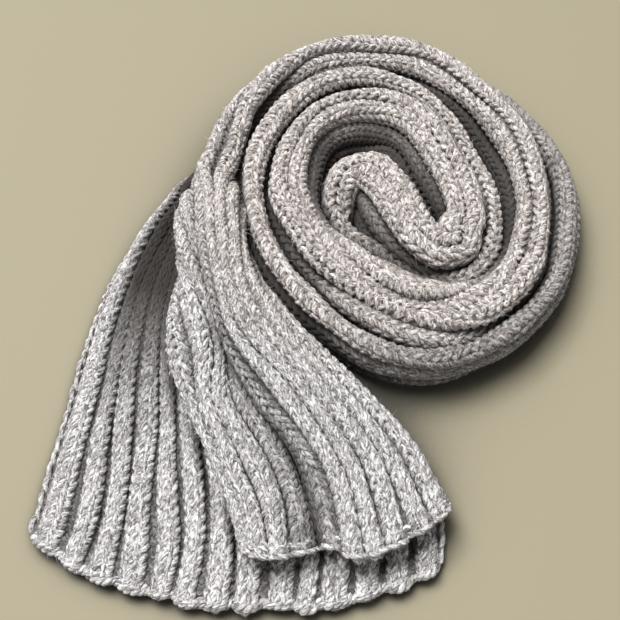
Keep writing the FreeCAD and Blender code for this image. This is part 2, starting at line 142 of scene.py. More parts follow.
# ---------------------------------------------------------------- the ends
# upper end: one list of key points (rib, x, y, z) to a station, from its free edge to the roll
UPPER_FLAP = [
    [(14, -68.8, -165.5, 10.6), (12.6, -62.7, -170.1, 16.2), (11.7, -56.5, -171.3, 16.6),
     (10.8, -49.7, -170.0, 14.4), (10, -41.2, -166.6, 10.6), (9.5, -36.4, -166.1, 13.3),
     (9, -32.5, -168.4, 16.5), (8.5, -27.5, -170.8, 17.5), (8, -23.1, -170.8, 17.5),
     (7, -16.2, -168.4, 18.2), (6, -8.8, -164.9, 18.3), (5, 0.6, -159.4, 16.9),
     (4.3, 6.1, -154.3, 15.1), (3.8, 7.9, -150.8, 12.0), (3, 2.9, -151.8, 10.2),
     (0, -18.1, -157.8, 10.0)],
    [(14, -76.2, -145.3, 10.6), (12.6, -68.6, -149.5, 16.6), (11.6, -60.3, -150.7, 16.8),
     (10.8, -52.5, -150.4, 14.8), (10, -44.9, -149.2, 10.6), (9.5, -39.6, -148.2, 15.0),
     (9, -36.0, -147.8, 20.0), (8.5, -32.6, -146.1, 20.6), (8, -29.5, -144.2, 20.7),
     (7, -23.9, -141.4, 21.6), (6, -17.3, -138.1, 21.1), (5, -9.6, -134.4, 18.5),
     (4.3, -5.0, -131.5, 16.1), (3.8, -3.7, -129.3, 12.4), (3, -8.7, -130.3, 10.2),
     (0, -29.7, -136.3, 10.0)],
    [(14, -85.1, -125.7, 10.6), (12.6, -78.0, -129.0, 17.0), (11.6, -69.0, -130.3, 17.3),
     (10.8, -60.5, -130.8, 15.2), (10, -52.9, -129.1, 10.6), (9.5, -48.5, -128.6, 16.1),
     (9, -45.3, -128.5, 22.1), (8.5, -42.3, -126.4, 22.9), (8, -39.6, -124.4, 23.1),
     (7, -34.6, -121.7, 24.6), (6, -29.8, -118.4, 23.7), (5, -25.0, -115.3, 21.4),
     (4.3, -20.7, -112.1, 17.9), (3.8, -19.5, -109.6, 13.0), (3, -24.5, -110.6, 10.2),
     (0, -45.5, -116.6, 10.0)],
    [(14, -94.7, -105.0, 10.6), (12.8, -88.4, -108.9, 16.4), (11.8, -81.3, -110.4, 18.0),
     (10.8, -73.5, -110.3, 15.6), (10, -66.7, -108.5, 10.6), (9.5, -63.2, -107.6, 15.5),
     (9, -60.0, -108.1, 22.4), (8.5, -56.8, -106.9, 24.6), (8, -53.7, -105.5, 25.2),
     (7, -48.9, -103.6, 26.8), (6, -44.2, -100.9, 25.7), (5, -39.4, -98.3, 23.2),
     (4.3, -35.3, -96.5, 19.3), (3.8, -34.3, -94.3, 14.0), (3, -39.3, -95.3, 10.2),
     (0, -60.3, -98.3, 10.0)],
    [(14, -97.2, -85.1, 9.6), (13.6, -100.7, -84.0, 12.0), (13.1, -95.6, -85.1, 18.6),
     (12.4, -87.6, -85.8, 19.0), (11.6, -83.4, -85.6, 16.0), (10, -79.2, -84.7, 11.5),
     (9.5, -76.9, -84.5, 14.9), (9, -73.8, -85.8, 20.8), (8, -69.4, -85.8, 26.0),
     (7, -64.4, -84.6, 28.2), (6, -59.1, -84.6, 28.9), (5, -52.7, -84.5, 26.3),
     (4.3, -47.9, -83.8, 21.5), (3.8, -46.7, -82.2, 15.0), (3, -51.7, -83.2, 10.2),
     (0, -72.7, -86.2, 10.0)],
    [(14, -92.5, -60.5, 9.6), (13.6, -98.9, -60.2, 11.6), (13.1, -98.9, -60.0, 18.0),
     (12.3, -94.5, -60.6, 21.4), (11.4, -89.9, -60.8, 21.0), (10, -86.1, -59.4, 17.0),
     (9, -82.5, -61.6, 25.5), (8, -78.8, -61.8, 29.1), (7, -74.9, -62.7, 31.2),
     (6, -70.7, -64.0, 30.9), (5, -66.4, -64.0, 26.9), (4.4, -63.8, -63.1, 20.6),
     (3.9, -63.6, -62.7, 16.6), (3, -68.6, -63.7, 10.2), (0, -89.6, -66.7, 10.0)],
    [(14, -90.0, -37.0, 9.0), (12.9, -98.4, -36.8, 10.2), (12.3, -100.8, -36.8, 15.6),
     (11.5, -99.0, -37.0, 21.6), (10.9, -95.4, -37.2, 23.8), (10, -92.0, -37.4, 24.6),
     (9.1, -88.2, -37.8, 28.6), (8.1, -83.6, -38.2, 32.4), (7.1, -79.8, -38.6, 32.6),
     (6.1, -76.6, -38.6, 29.4), (5.1, -74.4, -38.4, 22.6), (4.4, -74.6, -38.2, 16.0),
     (3.5, -77.4, -38.0, 10.2), (0, -84.0, -37.0, 9.6)],
    [(14, -88.0, -17.0, 9.0), (12.5, -95.0, -17.0, 9.8), (11.9, -99.0, -17.0, 14.4),
     (11.1, -99.6, -17.0, 20.4), (10.5, -98.0, -17.0, 25.6), (10, -95.0, -17.0, 29.0),
     (9.1, -90.6, -17.0, 31.6), (8.1, -86.4, -17.0, 32.0), (7.1, -81.6, -17.2, 31.6),
     (6.1, -77.6, -17.2, 27.4), (5.4, -76.2, -17.2, 21.0), (4.7, -76.6, -17.2, 14.4),
     (3.6, -79.6, -17.0, 9.6), (0, -86.0, -17.0, 9.0)],
]
# first and last rib held at each station above
UPPER_FLAP_SPANS = [(0.0, RIBS)] * 6 + [(0.8, 13.4), (1.6, 12.8)]
# lower end, from its free edge to the roll: left edge x, y, right edge x, y,
# sag towards -y, exponent of the rib spacing, height of the crest by the left edge
LOWER_FLAP = [
    (-149.4, -160.6, 4.6, -170.6, 21.0, 1.0, 0.0),
    (-146.9, -143.4, 4.4, -153.0, 19.0, 1.0, 0.0),
    (-145.2, -129.0, -1.6, -138.0, 16.5, 1.0, 0.0),
    (-143.2, -113.0, -10.6, -122.0, 14.0, 1.0, 0.0),
    (-140.6, -92.0, -23.0, -105.0, 11.0, 1.0, 0.0),
    (-137.4, -71.0, -37.0, -88.6, 8.5, 1.0, 0.6),
    (-132.6, -50.0, -51.0, -72.0, 6.0, 1.02, 1.6),
    (-125.6, -31.0, -64.0, -54.0, 4.0, 1.1, 3.4),
    (-117.2, -13.0, -75.0, -33.0, 2.0, 1.3, 4.6),
    (-109.6, -1.0, -80.0, -10.0, 0.0, 1.7, 4.0),
]
# lower neck, where the end turns into the roll: key points (rib, x, y, z)
LOWER_NECK = [
    (14, -106.4, 5.0, 3.0), (12.9, -104.4, 5.0, 8.0), (11.5, -100.0, 5.0, 7.0),
    (9.5, -95.0, 5.0, 4.6), (6, -90.0, 5.0, 4.2), (0, -82.0, 5.0, 4.2),
]


def roll_stations(flap, roll):
    """Station number of each roll angle; one neck station follows the flap's."""
    return {row[0]: len(flap) + 1 + i for i, row in enumerate(roll)}


UPPER_AT = roll_stations(UPPER_FLAP, UPPER_ROLL)
LOWER_AT = roll_stations(LOWER_FLAP, LOWER_ROLL)


# ---------------------------------------------------------------- numeric helpers
def smooth01(x):
    x = np.clip(x, 0, 1)
    return x * x * (3 - 2 * x)


def ramp(value, start, end):
    """Smooth step from 0 at start to 1 at end; end may lie below start."""
    return smooth01((value - start) / (end - start))


def bump(value, centre, width):
    return np.exp(-(((value - centre) / width) ** 2))


def unit(vectors, smallest=1e-9):
    length = np.linalg.norm(vectors, axis=-1, keepdims=True)
    return vectors / np.maximum(length, smallest)


def darken(shade, more):
    """Two shades, 0 light to 1 dark, laid over each other."""
    return 1 - (1 - shade) * (1 - more)


def to_frame(points):
    """Millimetres of the tables to metres in the model's frame."""
    return (np.array(points) - ORIGIN) / 1000


def smooth_interp(knots, values, at):
    """Smooth C1 interpolation of rows of values (n, ...) at knots."""
    knots = np.asarray(knots, float)
    values = np.asarray(values, float)
    shape = (-1, *([1] * (values.ndim - 1)))
    gap = np.diff(knots)
    slope = np.diff(values, axis=0) / gap.reshape(shape)
    tangent = np.empty_like(values)
    tangent[0], tangent[-1] = slope[0], slope[-1]
    weight = (gap[:-1] / (gap[:-1] + gap[1:])).reshape(shape)
    tangent[1:-1] = slope[:-1] * (1 - weight) + slope[1:] * weight
    i = np.clip(np.searchsorted(knots, at, side="right") - 1, 0, len(knots) - 2)
    t = ((at - knots[i]) / gap[i]).reshape(shape)
    span = gap[i].reshape(shape)
    return (values[i] * (2 * t**3 - 3 * t**2 + 1) + tangent[i] * span * (t**3 - 2 * t**2 + t)
            + values[i + 1] * (3 * t**2 - 2 * t**3) + tangent[i + 1] * span * (t**3 - t**2))


def moving_average(grid, axis, half=8):
    pads = [(0, 0), (0, 0)]
    pads[axis] = (half, half)
    padded = np.pad(grid, pads, mode="edge")
    size = grid.shape[axis]
    return np.mean([padded.take(range(k, k + size), axis) for k in range(2 * half + 1)], axis=0)


def waves(seed, count, rib_length, row_length, rib, row):
    """A smooth random field, about -1..1, with wavelengths near the two lengths."""
    rng = np.random.default_rng(seed)
    rib_rate = rng.normal(0, 1, count) * 4.5 / rib_length
    row_rate = rng.normal(0, 1, count) * 4.5 / row_length
    phase = rng.uniform(0, 2 * math.pi, count)
    total = 0.0
    for a, b, c in zip(rib_rate, row_rate, phase):
        total = total + np.cos(a * rib + b * row + c)
    return total * math.sqrt(2.0 / count) * 0.7


def path_lengths(path):
    return np.concatenate([[0], np.cumsum(np.linalg.norm(np.diff(path, axis=0), axis=1))])


def along_path(values, lengths, at):
    return np.stack([np.interp(at, lengths, values[:, k]) for k in range(3)], axis=-1)


def path_normals(path):
    """Unit normals, to the left of a path in plan."""
    path = np.asarray(path, float)
    heading = np.empty_like(path)
    heading[1:-1] = path[2:] - path[:-2]
    heading[0], heading[-1] = path[1] - path[0], path[-1] - path[-2]
    heading = unit(heading)
    return np.stack([-heading[:, 1], heading[:, 0]], axis=1)


# ---------------------------------------------------------------- stations
# points over RIB_GRID; the ribs held there; the rib on the crest; how far the station
# counts as inside the roll; how open its outer side is; how thin it is (the last three 0..1)
Station = namedtuple("Station", "points first last crest inside open_out thin",
                     defaults=(0.0, 1.0, 0.0))


def key_section(keys):
    """Points over RIB_GRID from key points (rib, x, y, z)."""
    table = np.array(sorted(keys), float)
    return smooth_interp(table[:, 0], table[:, 1:], RIB_GRID)


def tube_section(centre, across, inner, outer, top, crest, crease=0.0, place=0.0, lean=0.0,
                 skin=SKIN, flare=(0.0, 0.0)):
    """A closed upright section from inner to outer along the plan direction across.

    Returns its points over RIB_GRID and the first and last rib it holds. Rib crest lies at the
    crease, place sets the crease off centre, lean drops the inner side of the top and flare
    spreads the inner and outer foot.
    """
    half = (outer - inner) / 2
    half_width = max(half - skin, 0.60 * half)
    bottom, ceiling = LOWEST_MID + 0.3, top - SKIN
    mid_z, half_height = (bottom + ceiling) / 2, (ceiling - bottom) / 2
    turn = np.linspace(-math.pi, math.pi, SECTION_STEPS + 1)    # 0 is the top, + goes outwards
    cosine, sine = np.cos(turn), np.sin(turn)
    roundness = 2 / 2.5                                         # of a superellipse
    offset = np.sign(sine) * np.abs(sine) ** roundness * half_width
    z = np.sign(cosine) * np.abs(cosine) ** roundness * half_height
    z = z - lean * ramp(offset / half_width, 0.30, -1.00) * ramp(z / half_height, -0.7, 0.7)
    crease_width = 2.9 + 0.03 * half_width
    z = z - (0.72 * crease * ramp(cosine, 0.02, 0.52)
             * bump(offset, place * half_width, crease_width))
    is_top = np.abs(turn) < math.pi / 2
    order = np.argsort(offset[is_top])
    crease_turn = np.interp(place * half_width, offset[is_top][order], turn[is_top][order])
    foot = ramp(z / half_height, 0.35, -0.65)
    offset = offset * (1 + np.where(offset < 0, flare[0], flare[1]) / half_width * foot)
    arc = np.concatenate([[0], np.cumsum(np.hypot(np.diff(offset), np.diff(z)))])
    arc -= np.interp(crease_turn, turn, arc)
    at = np.clip((RIB_GRID - crest) * RIB_PITCH, arc[0], arc[-1])
    reach = np.interp(at, arc, offset) + (inner + outer) / 2
    points = np.stack([centre[0] + across[0] * reach, centre[1] + across[1] * reach,
                       mid_z + np.interp(at, arc, z)], axis=1)
    return points, crest + arc[0] / RIB_PITCH, crest + arc[-1] / RIB_PITCH


def roll_section(angle, *sizes, **shape):
    turn = math.radians(angle)
    return tube_section(ROLL_CENTRE, (math.cos(turn), math.sin(turn)), *sizes, **shape)


def core_sections(roll_end, core, beyond, **shape):
    """Sections along the core, which runs from the roll's last row towards a row beyond."""
    angle, inner, outer = roll_end[:3]
    turn, middle = math.radians(angle), (inner + outer) / 2
    start = (ROLL_CENTRE[0] + middle * math.cos(turn), ROLL_CENTRE[1] + middle * math.sin(turn))
    path = [start] + [row[:2] for row in core] + [beyond[:2]]
    return [tube_section((x, y), across, -half, half, top, **shape)
            for (x, y, half, top), across in zip(core, path_normals(path)[1:-1])]


def upper_stations():
    """Stations of the upper half, free end first."""
    stations = [Station(key_section(keys), *span, 8.0)
                for keys, span in zip(UPPER_FLAP, UPPER_FLAP_SPANS)]
    neck = tube_section((-87.2, 0.0), (-1.0, 0.0), -10.4, 10.4, 31.8, 8.0, crease=1.5)
    stations.append(Station(*neck, 8.0, inside=0.6))
    for angle, inner, outer, top, crease, place in UPPER_ROLL:
        crest = 8.0 - ramp(angle, 166, 106)
        section = roll_section(angle, inner, outer, top, crest, crease=crease, place=place,
                               lean=np.interp(angle, *LEAN),
                               flare=(np.interp(angle, *FLARE), 0.0))
        stations.append(Station(*section, crest, inside=1.0, open_out=ramp(angle, 50, 64)))
    sections = core_sections(UPPER_ROLL[-1], CORE_UPPER, CORE_LOWER[0], crest=7.0, crease=1.5,
                             skin=CORE_SKIN, flare=(4.5, 4.5))
    for row, section in zip(CORE_UPPER, sections):
        stations.append(Station(*section, 7.0, inside=1.0, open_out=0.0,
                                thin=ramp(row[2], 8.0, 5.0)))
    return stations


def lower_stations():
    """Stations of the lower half, free end first."""
    stations = []
    from_left = (RIBS - RIB_GRID) / RIBS
    for left_x, left_y, right_x, right_y, sag, spacing, crest in LOWER_FLAP:
        share = 1 - (1 - from_left) ** spacing
        x = left_x + (right_x - left_x) * share
        y = left_y + (right_y - left_y) * share - sag * (4 * share * (1 - share)) ** 0.8
        z = LOWER_END_Z + crest * bump(from_left * RIBS, 1.0, 1.2)
        stations.append(Station(np.stack([x, y, z], axis=1), 0.0, RIBS, RIBS))
    stations.append(Station(key_section(LOWER_NECK), 3.0, RIBS, 12.5))
    for angle, inner, outer, top in LOWER_ROLL:
        crest = 12.5 - 5.0 * ramp(angle, 163, 73)
        section = roll_section(angle, inner, outer, top, crest)
        stations.append(Station(*section, crest, inside=1.0, open_out=ramp(angle, -115, -101),
                                thin=ramp((outer - inner) / 2, 7.0, 5.0)))
    core = CORE_LOWER[::-1] + [CORE_UPPER[-1]]
    for section in core_sections(LOWER_ROLL[-1], core, CORE_UPPER[-2], crest=7.5):
        stations.append(Station(*section, 7.5, inside=1.0, open_out=0.0, thin=1.0))
    return stations


# ---------------------------------------------------------------- the band's surface
def rib_distance(rib):
    """Distance from the middle of the rib."""
    return np.abs(rib - np.floor(rib) - 0.5)


def rib_profile(distance, closed):
    """Height of the rib, -1..1, by distance from its middle; closed is 0 open to 1 drawn in."""
    return (1 - 2 * ramp(distance, 0.17 + 0.08 * closed, 0.42 + 0.03 * closed)
            + 0.12 * (1 - smooth01(distance / 0.22)))


class Band:
    """One half of the scarf as a ribbed surface over (row_grid, RIB_GRID).

    heads is +1 where stitch heads point away from the free end and -1 where they point to it.
    calm is a pair of stations between which the ribs flatten, ease four stations between which
    they are drawn flatter and then recover.
    """

    def __init__(self, stations, roll_start, heads, seed, flap_relief, scallop, wander,
                 calm=None, ease=None):
        self.heads = heads
        middle = self.place_rows(stations)
        self.roll_row = self.station_rows[roll_start] + 2
        rib, row = np.meshgrid(RIB_GRID, self.row_grid)
        middle = self.wander_ribs(middle, rib, row, seed)
        normals = self.normals_of(middle)
        middle = middle + normals * (0.30 * waves(seed + 3, 9, 3.0, 11.0, rib, row)
                                     + 0.18 * waves(seed + 4, 9, 1.2, 5.0, rib, row))[..., None]
        eased = 0.0
        if ease:
            starts, full, fades, ends = (self.station_rows[k] for k in ease)
            eased = ramp(row, starts, full) * ramp(row, ends, fades)
        self.close_up(middle, row, eased)

        in_roll = self.roll_share(row)
        profile = rib_profile(rib_distance(rib), self.closed)
        thin = self.over_rows([s.thin for s in stations])
        height = (flap_relief * (0.5 + 0.5 * smooth01(row / 4.5)) * (1 - in_roll)
                  + (RIB_HEIGHT + 0.5 - 1.2 * thin) * in_roll)
        height = height * (1 + 0.18 * waves(seed + 5, 7, 1.5, 30.0, rib, row))
        # flatter where the band faces down onto the table
        facing = ramp(normals[..., 2], -0.55, -0.05)
        height = height * (0.25 + 0.75 * facing) * (1 - 0.5 * eased)
        if calm:
            first, last = (self.station_rows[k] for k in calm)
            height = height * (1 - 0.88 * ramp(row, first, last) * (1 - in_roll)
                               * ramp(RIBS - rib, 0.7, 1.5))
        surface = middle + normals * (profile * height)[..., None]
        self.rest_on_table(surface)
        # at the free edge rib ends stand out and grooves draw in
        along = unit(np.gradient(surface, axis=0))
        reach = scallop * profile + wander * waves(seed + 6, 9, 2.0, 400.0, rib, row)
        surface = surface - along * (reach * np.exp(-row / 2.2))[..., None]
        self.surface = surface
        self.normals = self.normals_of(surface)
        self.shade_inside(stations, rib)

    def over_rows(self, values):
        """Values given at the stations, as a column over the rows."""
        return np.interp(self.row_grid, self.station_rows, values)[:, None]

    def place_rows(self, stations):
        """Place the stations by their mean distance over the ribs that both hold."""
        points = np.array([s.points for s in stations])
        first = np.array([s.first for s in stations])
        last = np.array([s.last for s in stations])
        steps = []
        for k, gap in enumerate(np.linalg.norm(np.diff(points, axis=0), axis=2)):
            shared = (RIB_GRID >= max(first[k], first[k + 1]))
            shared &= (RIB_GRID <= min(last[k], last[k + 1]))
            steps.append(gap[shared].mean())
        self.station_rows = np.concatenate([[0], np.cumsum(steps)]) / ROW_HEIGHT
        self.rows = int(self.station_rows[-1])
        self.station_rows *= self.rows / self.station_rows[-1]
        self.row_grid = np.linspace(0, self.rows, self.rows * ROW_SAMPLES + 1)
        self.first_rib = self.over_rows(first)
        self.last_rib = self.over_rows(last)
        self.held = (RIB_GRID >= self.first_rib) & (RIB_GRID <= self.last_rib)
        return smooth_interp(self.station_rows, points, self.row_grid)

    def square_slip(self, middle, row):
        """How far each point slips along its rib so that rows run square to the ribs."""
        by_rib, by_row = np.gradient(middle, axis=1), np.gradient(middle, axis=0)
        skew = -(by_rib * by_row).sum(2) / np.maximum((by_row * by_row).sum(2), 1e-6)
        slip = np.cumsum(np.clip(skew, -1.2, 1.2), axis=1)
        still = int(round(7.5 * RIB_SAMPLES))
        slip = (slip - slip[:, still:still + 1]) / ROW_SAMPLES
        for _ in range(3):
            slip = moving_average(slip, axis=0)
        limit = np.minimum(0.45 * row, 3.0 + 4.5 * ramp(row, self.roll_row, self.roll_row - 8))
        return np.clip(slip * ramp(row, self.rows - 2, self.rows - 10), -limit, limit)

    def wander_ribs(self, middle, rib, row, seed):
        """Let the ribs wander and differ in width, and turn the rows square to them."""
        inward = smooth01(np.minimum(rib, RIBS - rib))
        warp = (0.085 * waves(seed, 9, 2.6, 16.0, rib, row)
                + 0.05 * waves(seed + 1, 9, 1.6, 400.0, rib, row))
        slip = 0.16 * waves(seed + 2, 9, 2.2, 7.0, rib, row) * smooth01(row / 3.0)
        slipped = row + slip + self.square_slip(middle, row)
        return self.sample(middle, rib + warp * inward, np.clip(slipped, 0, self.rows))

    def close_up(self, middle, row, eased):
        """Close the ribs in the roll and where the band is drawn together; pack its yarn."""
        pitch = np.linalg.norm(np.gradient(middle, axis=1), axis=2) * RIB_SAMPLES
        for _ in range(2):
            pitch = moving_average(pitch, axis=1)
        closed = darken(self.roll_share(row), ramp(pitch, 9.2, 6.4))
        self.closed = closed * (1 - 0.5 * eased)
        self.pack = np.clip(pitch / 9.0, 0.70, 1.04)

    @staticmethod
    def rest_on_table(surface):
        """Bend whatever hangs too low up to LOWEST_MID, easing in over a margin."""
        margin = 0.6
        low = surface[..., 2] - LOWEST_MID
        eased = margin * np.exp(np.minimum(low - margin, 0) / margin)
        surface[..., 2] = LOWEST_MID + np.where(low > margin, low, eased)

    def shade_inside(self, stations, rib):
        """Painted shade: fabric deep between two turns is painted darker."""
        crest, inside, open_out = (self.over_rows([getattr(s, name) for s in stations])
                                   for name in ("crest", "inside", "open_out"))
        z = self.surface[..., 2]
        crown = np.where(self.held, z, -1e3).max(axis=1)[:, None]
        outer = open_out * ramp(rib - crest, 0, 0.5)
        self.shade = 0.93 * inside * (1 - outer) * ramp(crown - z, 3.2, 13.2)

    def roll_share(self, row):
        """0 in the end, 1 in the roll."""
        return ramp(row, self.roll_row, self.roll_row + 12)

    def row_of(self, station):
        """Whole row nearest a station number; None is the last row."""
        if station is None:
            return self.rows
        numbers = np.arange(len(self.station_rows))
        return int(round(np.interp(station, numbers, self.station_rows)))

    @staticmethod
    def normals_of(surface):
        return unit(np.cross(np.gradient(surface, axis=0), np.gradient(surface, axis=1)))

    def sample(self, grid, rib, row):
        """Bilinear lookup with linear run-out past the edges."""
        last = len(self.row_grid) - 1
        row_at = row / self.rows * last
        rib_at = rib / RIBS * (ACROSS - 1)
        i = np.clip(np.floor(row_at).astype(int), 0, last - 1)
        j = np.clip(np.floor(rib_at).astype(int), 0, ACROSS - 2)
        a = (row_at - i)[..., None]
        b = (rib_at - j)[..., None]
        return (grid[i, j] * (1 - a) * (1 - b) + grid[i + 1, j] * a * (1 - b)
                + grid[i, j + 1] * (1 - a) * b + grid[i + 1, j + 1] * a * b)

    def value(self, grid, rib, row):
        return self.sample(grid[..., None], rib, row)[..., 0]

    def at(self, rib, row):
        """Surface points and unit normals."""
        normals = self.sample(self.normals, rib, row)
        return self.sample(self.surface, rib, row), unit(normals, 1e-6)


# ---------------------------------------------------------------- stitches
# stitch columns: purl, knit, knit, purl in each rib repeat
STITCHES = 4
COLUMNS = RIBS * STITCHES
KNIT = np.array([-1, 1, 1, -1] * RIBS, float)      # +1 knit seen from above, -1 purl


def column_edges(wall):
    """Rib coordinates of the column edges; wall is the width of a purl column."""
    edges = [k + d for k in range(RIBS) for d in (0.0, wall, 0.5, 1.0 - wall)]
    return np.array(edges + [float(RIBS)])


OPEN_EDGES = column_edges(0.18)                    # the ends, where the ribs stand open
CLOSED_EDGES = column_edges(0.11)                  # the roll, where they close up

Yarn = namedtuple("Yarn", "points normals radii visible shade")


def rib_of(stitch, closed):
    """Stitch coordinate 0..56 to rib coordinate 0..14."""
    columns = np.arange(COLUMNS + 1)
    past = np.where(stitch < 0, stitch * 0.2, 0)
    past = past + np.where(stitch > COLUMNS, (stitch - COLUMNS) * 0.2, 0)
    return (np.interp(stitch, columns, OPEN_EDGES) * (1 - closed)
            + np.interp(stitch, columns, CLOSED_EDGES) * closed + past)


def yarn_rows(band, row0, row1, column0, column1, seed):
    """The yarn of rows row0..row1-1 in stitch columns column0..column1-1, one line a row."""
    row = np.arange(row0, row1)[:, None]
    k = np.arange((column1 - column0) * STITCH_SAMPLES + 1)
    column = np.minimum(k // STITCH_SAMPLES, column1 - column0 - 1) + column0
    turn = (k - (column - column0) * STITCH_SAMPLES) / STITCH_SAMPLES * 2 * math.pi - math.pi
    turn = turn[None, :]                               # -pi..pi along a stitch, head at 0
    column = column[None, :]
    rng = np.random.default_rng(seed)
    jitter = rng.normal(0, 1, (row1 - row0 + 2, COLUMNS + 1, 5))[row - row0, column]
    jitter = jitter * (1 - 0.5 * band.roll_share(row + 0.5))[..., None]
    fade = np.cos(turn / 2) ** 2                       # nothing moves at the ends of a stitch

    # plan of the loop
    swing = 0.30 * (1 + 0.12 * jitter[..., 0])
    reach = 0.90 * (1 + 0.07 * jitter[..., 1])
    stitch = (column + 0.5 + turn / (2 * math.pi) + swing * np.sin(2 * turn)
              + 0.05 * jitter[..., 2] * fade)
    at_row = row + 0.5 + band.heads * (reach * np.cos(turn)) + 0.07 * jitter[..., 4] * fade
    row_held = np.clip(at_row, 0, band.rows)
    rib = np.clip(rib_of(stitch, band.roll_share(at_row)), 0, RIBS)
    closed = band.value(band.closed, rib, row_held)
    rib = rib_of(stitch, closed)

    # height: legs on the stitch's own side, head and feet on the other
    knit = KNIT[column]
    purl = knit < 0
    neighbour = np.where(turn < 0, KNIT[np.clip(column - 1, 0, COLUMNS - 1)],
                         KNIT[np.clip(column + 1, 0, COLUMNS - 1)])
    far = np.where(np.abs(turn) < math.pi / 2, -knit, -(knit + neighbour) / 2)
    z = (knit + (far - knit) * (1 + np.cos(2 * turn)) / 2) * LOOP_DEPTH
    shut = band.value(band.closed, (column + 0.5) / STITCHES, row + 0.5)
    z = z * (1 - 0.30 * shut) + 0.10 * jitter[..., 3] * fade - 0.8 * purl * fade * shut
    points, normals = band.at(rib, at_row)
    points = points + normals * z[..., None]

    pack = band.value(band.pack, np.clip(rib, 0, RIBS), row_held)
    radii = (YARN_RADIUS * pack * (1.06 + 0.12 * closed - 0.08 * closed * purl)
             * (0.93 + 0.14 * np.sin(turn) ** 2) * (1 + 0.07 * jitter[..., 0] * fade))
    first = np.interp(at_row, band.row_grid, band.first_rib[:, 0])
    last = np.interp(at_row, band.row_grid, band.last_rib[:, 0])
    visible = (rib >= first - 0.05) & (rib <= last + 0.05)

    # painted shade: grooves and the undersides of loops are painted darker, and the band's painted
    # shade is laid over
    depth = rib_profile(rib_distance(rib), closed) * RIB_HEIGHT + z
    depth = depth / (RIB_HEIGHT + LOOP_DEPTH)
    groove = (0.76 - 0.20 * closed) * ramp(depth, 0.62 - 0.17 * closed, -0.58 - 0.27 * closed)
    under = 0.46 * ramp(z / LOOP_DEPTH, 0.15, -0.75) * np.where(purl, 0.7, 1.0)
    painted_band_shade = np.clip(band.value(band.shade, rib, at_row), 0, 1)
    return Yarn(points, normals, radii, visible, darken(darken(groove, under), painted_band_shade))


# ---------------------------------------------------------------- yarn meshes
# Each part is vertices, quads, yarn coordinates of the vertices, and their painted shade.
def yarn_frame(tangents, normals):
    """Unit tangent, side and outward directions of a yarn."""
    tangents = unit(tangents)
    sides = unit(np.cross(tangents, normals))
    return tangents, sides, np.cross(sides, tangents)


def sweep(points, normals, radius, shade=0.0, visible=True, offset=0.0, closed=False):
    """Tubes along lines of points (lines, samples, 3)."""
    lines, count = points.shape[:2]
    if closed:
        tangents = np.roll(points, -1, axis=1) - np.roll(points, 1, axis=1)
    else:
        tangents = np.gradient(points, axis=1)
    _, sides, outs = yarn_frame(tangents, normals)
    steps = np.linalg.norm(np.diff(points, axis=1), axis=2)
    length = np.concatenate([np.zeros((lines, 1)), np.cumsum(steps, axis=1)], axis=1)[..., None]
    around = np.arange(YARN_SIDES) / YARN_SIDES * 2 * math.pi
    radius = np.broadcast_to(np.asarray(radius, float), (lines, count))
    spokes = (np.cos(around)[:, None] * sides[:, :, None, :]
              + np.sin(around)[:, None] * outs[:, :, None, :])
    vertices = points[:, :, None, :] + radius[:, :, None, None] * spokes
    twist = around + 0.55 * length                     # radians to a millimetre
    shift = (np.arange(lines) * 37.7 + offset)[:, None, None]
    yarn_at = np.stack([np.broadcast_to(length + shift, twist.shape),
                        YARN_RADIUS * np.cos(twist), YARN_RADIUS * np.sin(twist)], axis=3)
    visible = np.broadcast_to(visible, (lines, count))
    joined = visible & np.roll(visible, -1, axis=1)
    if not closed:
        joined[:, -1] = False
    line, k = np.nonzero(joined)
    near = ((line * count + k) * YARN_SIDES)[:, None]
    far = ((line * count + (k + 1) % count) * YARN_SIDES)[:, None]
    side = np.arange(YARN_SIDES)
    following = (side + 1) % YARN_SIDES
    quads = np.stack([near + side, near + following, far + following, far + side], axis=2)
    shade = np.repeat(np.broadcast_to(shade, (lines, count)).ravel(), YARN_SIDES)
    return vertices.reshape(-1, 3), quads.reshape(-1, 4), yarn_at.reshape(-1, 3), shade


def chain(path, normals, link, width, radius, offset, seed):
    """A chain of closed loops, heads over feet, along a path."""
    lengths = path_lengths(path)
    count = max(int(lengths[-1] / link), 1)
    step = lengths[-1] / count
    turn = np.arange(LINK_SAMPLES) / LINK_SAMPLES * 2 * math.pi
    jitter = np.random.default_rng(seed).normal(0, 1, (count, 4))
    centres = (np.arange(count) + 0.5) * step
    at = centres[:, None] + step * 0.74 * np.cos(turn) * (1 + 0.06 * jitter[:, :1])
    at = np.clip(at, 0, lengths[-1])
    heading = unit(along_path(np.gradient(path, lengths, axis=0), lengths, at))
    up = unit(along_path(normals, lengths, at))
    aside = (width * (0.47 + 0.06 * jitter[:, 1:2]) * np.sin(turn)
             * (1 + 0.35 * np.cos(turn)))
    lift = -0.8 * np.cos(2 * turn) + 0.12 * jitter[:, 2:3]
    points = (along_path(path, lengths, at) + np.cross(heading, up) * aside[..., None]
              + up * lift[..., None])
    return sweep(points, up, radius * (1 + 0.06 * jitter[:, 3:4]), offset=offset, closed=True)


